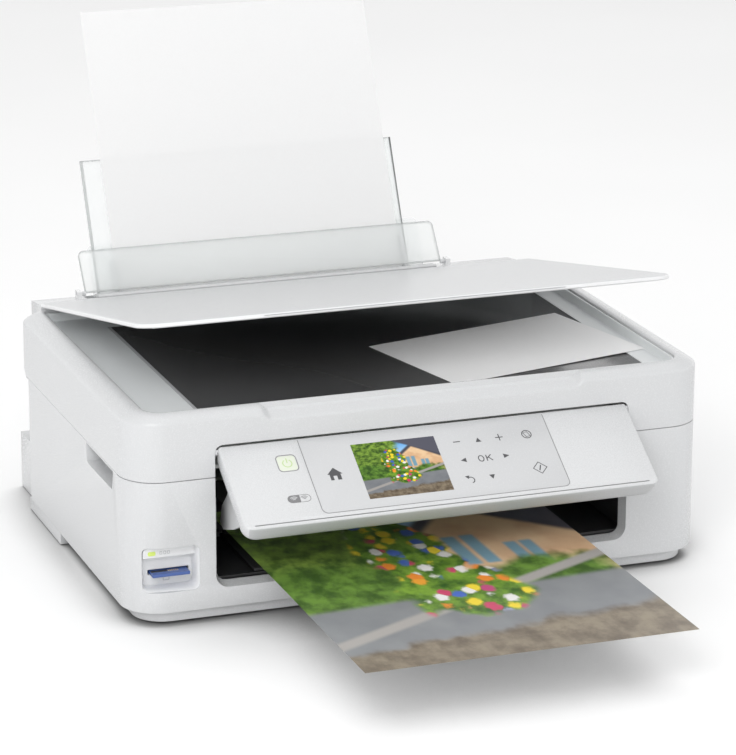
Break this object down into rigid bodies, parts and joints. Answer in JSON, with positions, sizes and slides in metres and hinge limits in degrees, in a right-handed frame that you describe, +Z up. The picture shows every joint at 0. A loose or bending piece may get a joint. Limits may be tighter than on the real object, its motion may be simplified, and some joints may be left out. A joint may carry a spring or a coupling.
{
  "type": "inkjet printer",
  "caption": "All-in-one inkjet printer with a flatbed scanner and lid, rear sheet feeder, tilting control panel, memory card bay and front paper output.",
  "frame": {"origin": "on the surface it stands on, at the middle of the footprint of everything, sheets included", "axes": "+Z up, -Y out of the front where prints come out, +X to the right seen from the front"},
  "size_m": [0.39, 0.5892, 0.3167],
  "materials": {
    "white_housing": "satin gloss moulded, very fine texture",
    "white_panel": "smooth printed film",
    "grey_tray": "fine matte texture",
    "black_plastic": "fine matte texture",
    "dark_plastic": "matte",
    "scanner_glass": "polished flat glass",
    "clear_plastic": "frosted clear",
    "screen": "glossy display window",
    "steel": "zinc-plated, fine brushing",
    "rubber": "matte",
    "circuit_board": "solder resist",
    "paper": "plain uncoated",
    "photo_print": "semi-gloss printed",
    "pad": "matte white film on foam",
    "power_key": "translucent, lit from behind",
    "card_blue": "fine matte",
    "ink_black": "smooth",
    "ink_cyan": "smooth",
    "ink_magenta": "smooth",
    "ink_yellow": "smooth"
  },
  "bodies": {
    "base": {"base_pan": "white_housing", "front_foot_left": "rubber", "front_foot_right": "rubber", "lower_housing": "white_housing", "output_liner": "black_plastic", "rear_housing": "white_housing", "chassis_plate": "steel", "platen": "dark_plastic", "feed_motor": "steel", "feed_belt": "rubber", "carriage_motor": "steel", "carriage_belt": "rubber", "capping_station": "dark_plastic", "main_board": "circuit_board", "power_supply": "black_plastic", "card_reader": "white_housing"},
    "rear_cover": {"rear_cover": "white_housing"},
    "tray": {"tray_base": "black_plastic"},
    "tray_extension": {"tray_extension": "black_plastic"},
    "tray_stopper": {"tray_stopper": "black_plastic"},
    "panel": {"panel_shell": "white_housing", "panel_face": "white_panel", "lcd_screen": "screen"},
    "power_key": {"power_key": "power_key"},
    "home_key": {"home_key": "dark_plastic"},
    "minus_key": {"minus_key": "dark_plastic"},
    "up_key": {"up_key": "dark_plastic"},
    "plus_key": {"plus_key": "dark_plastic"},
    "stop_key": {"stop_key": "dark_plastic"},
    "left_key": {"left_key": "dark_plastic"},
    "ok_key": {"ok_key": "dark_plastic"},
    "right_key": {"right_key": "dark_plastic"},
    "back_key": {"back_key": "dark_plastic"},
    "down_key": {"down_key": "dark_plastic"},
    "start_key": {"start_key": "dark_plastic"},
    "scanner": {"scanner_bezel": "white_housing", "scanner_tray": "grey_tray", "scanner_glass": "scanner_glass"},
    "scan_carriage": {"scan_carriage": "dark_plastic"},
    "lid": {"lid_cover": "white_housing", "lid_pad": "pad"},
    "original_sheet": {"original_sheet": "paper"},
    "feeder_guard": {"feeder_guard": "clear_plastic"},
    "paper_support": {"paper_support": "clear_plastic"},
    "support_extension": {"support_extension": "clear_plastic"},
    "edge_guide_left": {"edge_guide_left": "white_housing"},
    "edge_guide_right": {"edge_guide_right": "white_housing"},
    "feed_sheet": {"feed_sheet": "paper"},
    "printed_sheet": {"printed_sheet": "photo_print"},
    "line_feed_roller": {"line_feed_roller": "steel"},
    "exit_roller": {"exit_roller": "rubber"},
    "pickup_roller": {"pickup_roller": "rubber"},
    "feed_pinion": {"feed_pinion": "black_plastic"},
    "carriage_pulley": {"carriage_pulley": "black_plastic"},
    "carriage": {"print_carriage": "black_plastic", "black_ink_cartridge": "ink_black", "cyan_ink_cartridge": "ink_cyan", "magenta_ink_cartridge": "ink_magenta", "yellow_ink_cartridge": "ink_yellow"},
    "memory_card": {"memory_card": "card_blue"}
  },
  "joints": [
    {"name": "scanner_lift", "type": "hinge", "parent": "base", "child": "scanner", "pos_m": [0, 0.18241, 0.129], "axis": [-1, 0, 0], "range_deg": [0, 30]},
    {"name": "lid_hinge", "type": "hinge", "parent": "scanner", "child": "lid", "pos_m": [0, 0.17991, 0.1365], "axis": [-1, 0, 0], "range_deg": [-11.7, 60]},
    {"name": "original_lift", "type": "slide", "parent": "scanner", "child": "original_sheet", "axis": [0, 0, 1], "range_m": [0, 0.012]},
    {"name": "scan_carriage_travel", "type": "slide", "parent": "scanner", "child": "scan_carriage", "axis": [1, 0, 0], "range_m": [0, 0.28]},
    {"name": "panel_tilt", "type": "hinge", "parent": "base", "child": "panel", "pos_m": [0, -0.08249, 0.1117], "axis": [-1, 0, 0], "range_deg": [-37, 10]},
    {"name": "power_press", "type": "slide", "parent": "panel", "child": "power_key", "axis": [0, 0.5373, -0.8434], "range_m": [0, 0.0008], "stiffness_N_per_m": 400},
    {"name": "home_press", "type": "slide", "parent": "panel", "child": "home_key", "axis": [0, 0.5373, -0.8434], "range_m": [0, 0.0008], "stiffness_N_per_m": 400},
    {"name": "minus_press", "type": "slide", "parent": "panel", "child": "minus_key", "axis": [0, 0.5373, -0.8434], "range_m": [0, 0.0008], "stiffness_N_per_m": 400},
    {"name": "up_press", "type": "slide", "parent": "panel", "child": "up_key", "axis": [0, 0.5373, -0.8434], "range_m": [0, 0.0008], "stiffness_N_per_m": 400},
    {"name": "plus_press", "type": "slide", "parent": "panel", "child": "plus_key", "axis": [0, 0.5373, -0.8434], "range_m": [0, 0.0008], "stiffness_N_per_m": 400},
    {"name": "stop_press", "type": "slide", "parent": "panel", "child": "stop_key", "axis": [0, 0.5373, -0.8434], "range_m": [0, 0.0008], "stiffness_N_per_m": 400},
    {"name": "left_press", "type": "slide", "parent": "panel", "child": "left_key", "axis": [0, 0.5373, -0.8434], "range_m": [0, 0.0008], "stiffness_N_per_m": 400},
    {"name": "ok_press", "type": "slide", "parent": "panel", "child": "ok_key", "axis": [0, 0.5373, -0.8434], "range_m": [0, 0.0008], "stiffness_N_per_m": 400},
    {"name": "right_press", "type": "slide", "parent": "panel", "child": "right_key", "axis": [0, 0.5373, -0.8434], "range_m": [0, 0.0008], "stiffness_N_per_m": 400},
    {"name": "back_press", "type": "slide", "parent": "panel", "child": "back_key", "axis": [0, 0.5373, -0.8434], "range_m": [0, 0.0008], "stiffness_N_per_m": 400},
    {"name": "down_press", "type": "slide", "parent": "panel", "child": "down_key", "axis": [0, 0.5373, -0.8434], "range_m": [0, 0.0008], "stiffness_N_per_m": 400},
    {"name": "start_press", "type": "slide", "parent": "panel", "child": "start_key", "axis": [0, 0.5373, -0.8434], "range_m": [0, 0.0008], "stiffness_N_per_m": 400},
    {"name": "feeder_guard_fold", "type": "hinge", "parent": "base", "child": "feeder_guard", "pos_m": [0, 0.20041, 0.1396], "axis": [-1, 0, 0], "range_deg": [-90, 0]},
    {"name": "paper_support_slide", "type": "slide", "parent": "base", "child": "paper_support", "axis": [0, 0.4264, 0.9045], "range_m": [-0.04, 0]},
    {"name": "support_extension_slide", "type": "slide", "parent": "paper_support", "child": "support_extension", "axis": [0, 0.4264, 0.9045], "range_m": [-0.025, 0]},
    {"name": "edge_guide_left_slide", "type": "slide", "parent": "base", "child": "edge_guide_left", "axis": [-1, 0, 0], "range_m": [0, 0.004]},
    {"name": "edge_guide_right_slide", "type": "slide", "parent": "base", "child": "edge_guide_right", "axis": [1, 0, 0], "range_m": [0, 0.004]},
    {"name": "feed_sheet_slide", "type": "slide", "parent": "base", "child": "feed_sheet", "axis": [0, 0.4264, 0.9045], "range_m": [0, 0.2]},
    {"name": "printed_sheet_slide", "type": "slide", "parent": "base", "child": "printed_sheet", "axis": [0, -1, 0], "range_m": [0, 0.12]},
    {"name": "line_feed_spin", "type": "hinge", "parent": "base", "child": "line_feed_roller", "pos_m": [0, 0.07941, 0.0357], "axis": [1, 0, 0], "continuous": true},
    {"name": "exit_roller_spin", "type": "hinge", "parent": "base", "child": "exit_roller", "pos_m": [0, -0.00859, 0.0357], "axis": [1, 0, 0], "continuous": true},
    {"name": "feed_pinion_spin", "type": "hinge", "parent": "base", "child": "feed_pinion", "pos_m": [0, 0.05761, 0.0257], "axis": [1, 0, 0], "continuous": true},
    {"name": "pickup_spin", "type": "hinge", "parent": "base", "child": "pickup_roller", "pos_m": [0, 0.16341, 0.0777], "axis": [1, 0, 0], "continuous": true},
    {"name": "carriage_travel", "type": "slide", "parent": "base", "child": "carriage", "axis": [-1, 0, 0], "range_m": [0, 0.235]},
    {"name": "carriage_pulley_spin", "type": "hinge", "parent": "base", "child": "carriage_pulley", "pos_m": [-0.148, 0.04141, 0.072], "axis": [0, 1, 0], "continuous": true},
    {"name": "tray_slide", "type": "slide", "parent": "base", "child": "tray", "axis": [0, -1, 0], "range_m": [0, 0.06]},
    {"name": "tray_extension_slide", "type": "slide", "parent": "tray", "child": "tray_extension", "axis": [0, -1, 0], "range_m": [0, 0.045]},
    {"name": "tray_stopper_fold", "type": "hinge", "parent": "tray_extension", "child": "tray_stopper", "pos_m": [0, -0.07339, 0.0307], "axis": [1, 0, 0], "range_deg": [0, 90]},
    {"name": "rear_cover_pull", "type": "slide", "parent": "base", "child": "rear_cover", "axis": [0, 1, 0], "range_m": [0, 0.04]},
    {"name": "memory_card_slide", "type": "slide", "parent": "base", "child": "memory_card", "axis": [0, -1, 0], "range_m": [0, 0.02]}
  ],
  "couplings": [
    {"joint": "exit_roller_spin", "follows": "line_feed_spin", "ratio": 1},
    {"joint": "feed_pinion_spin", "follows": "line_feed_spin", "ratio": -3},
    {"joint": "carriage_pulley_spin", "follows": "carriage_travel", "rad_per_m": 156.25},
    {"joint": "edge_guide_right_slide", "follows": "edge_guide_left_slide", "ratio": 1}
  ]
}
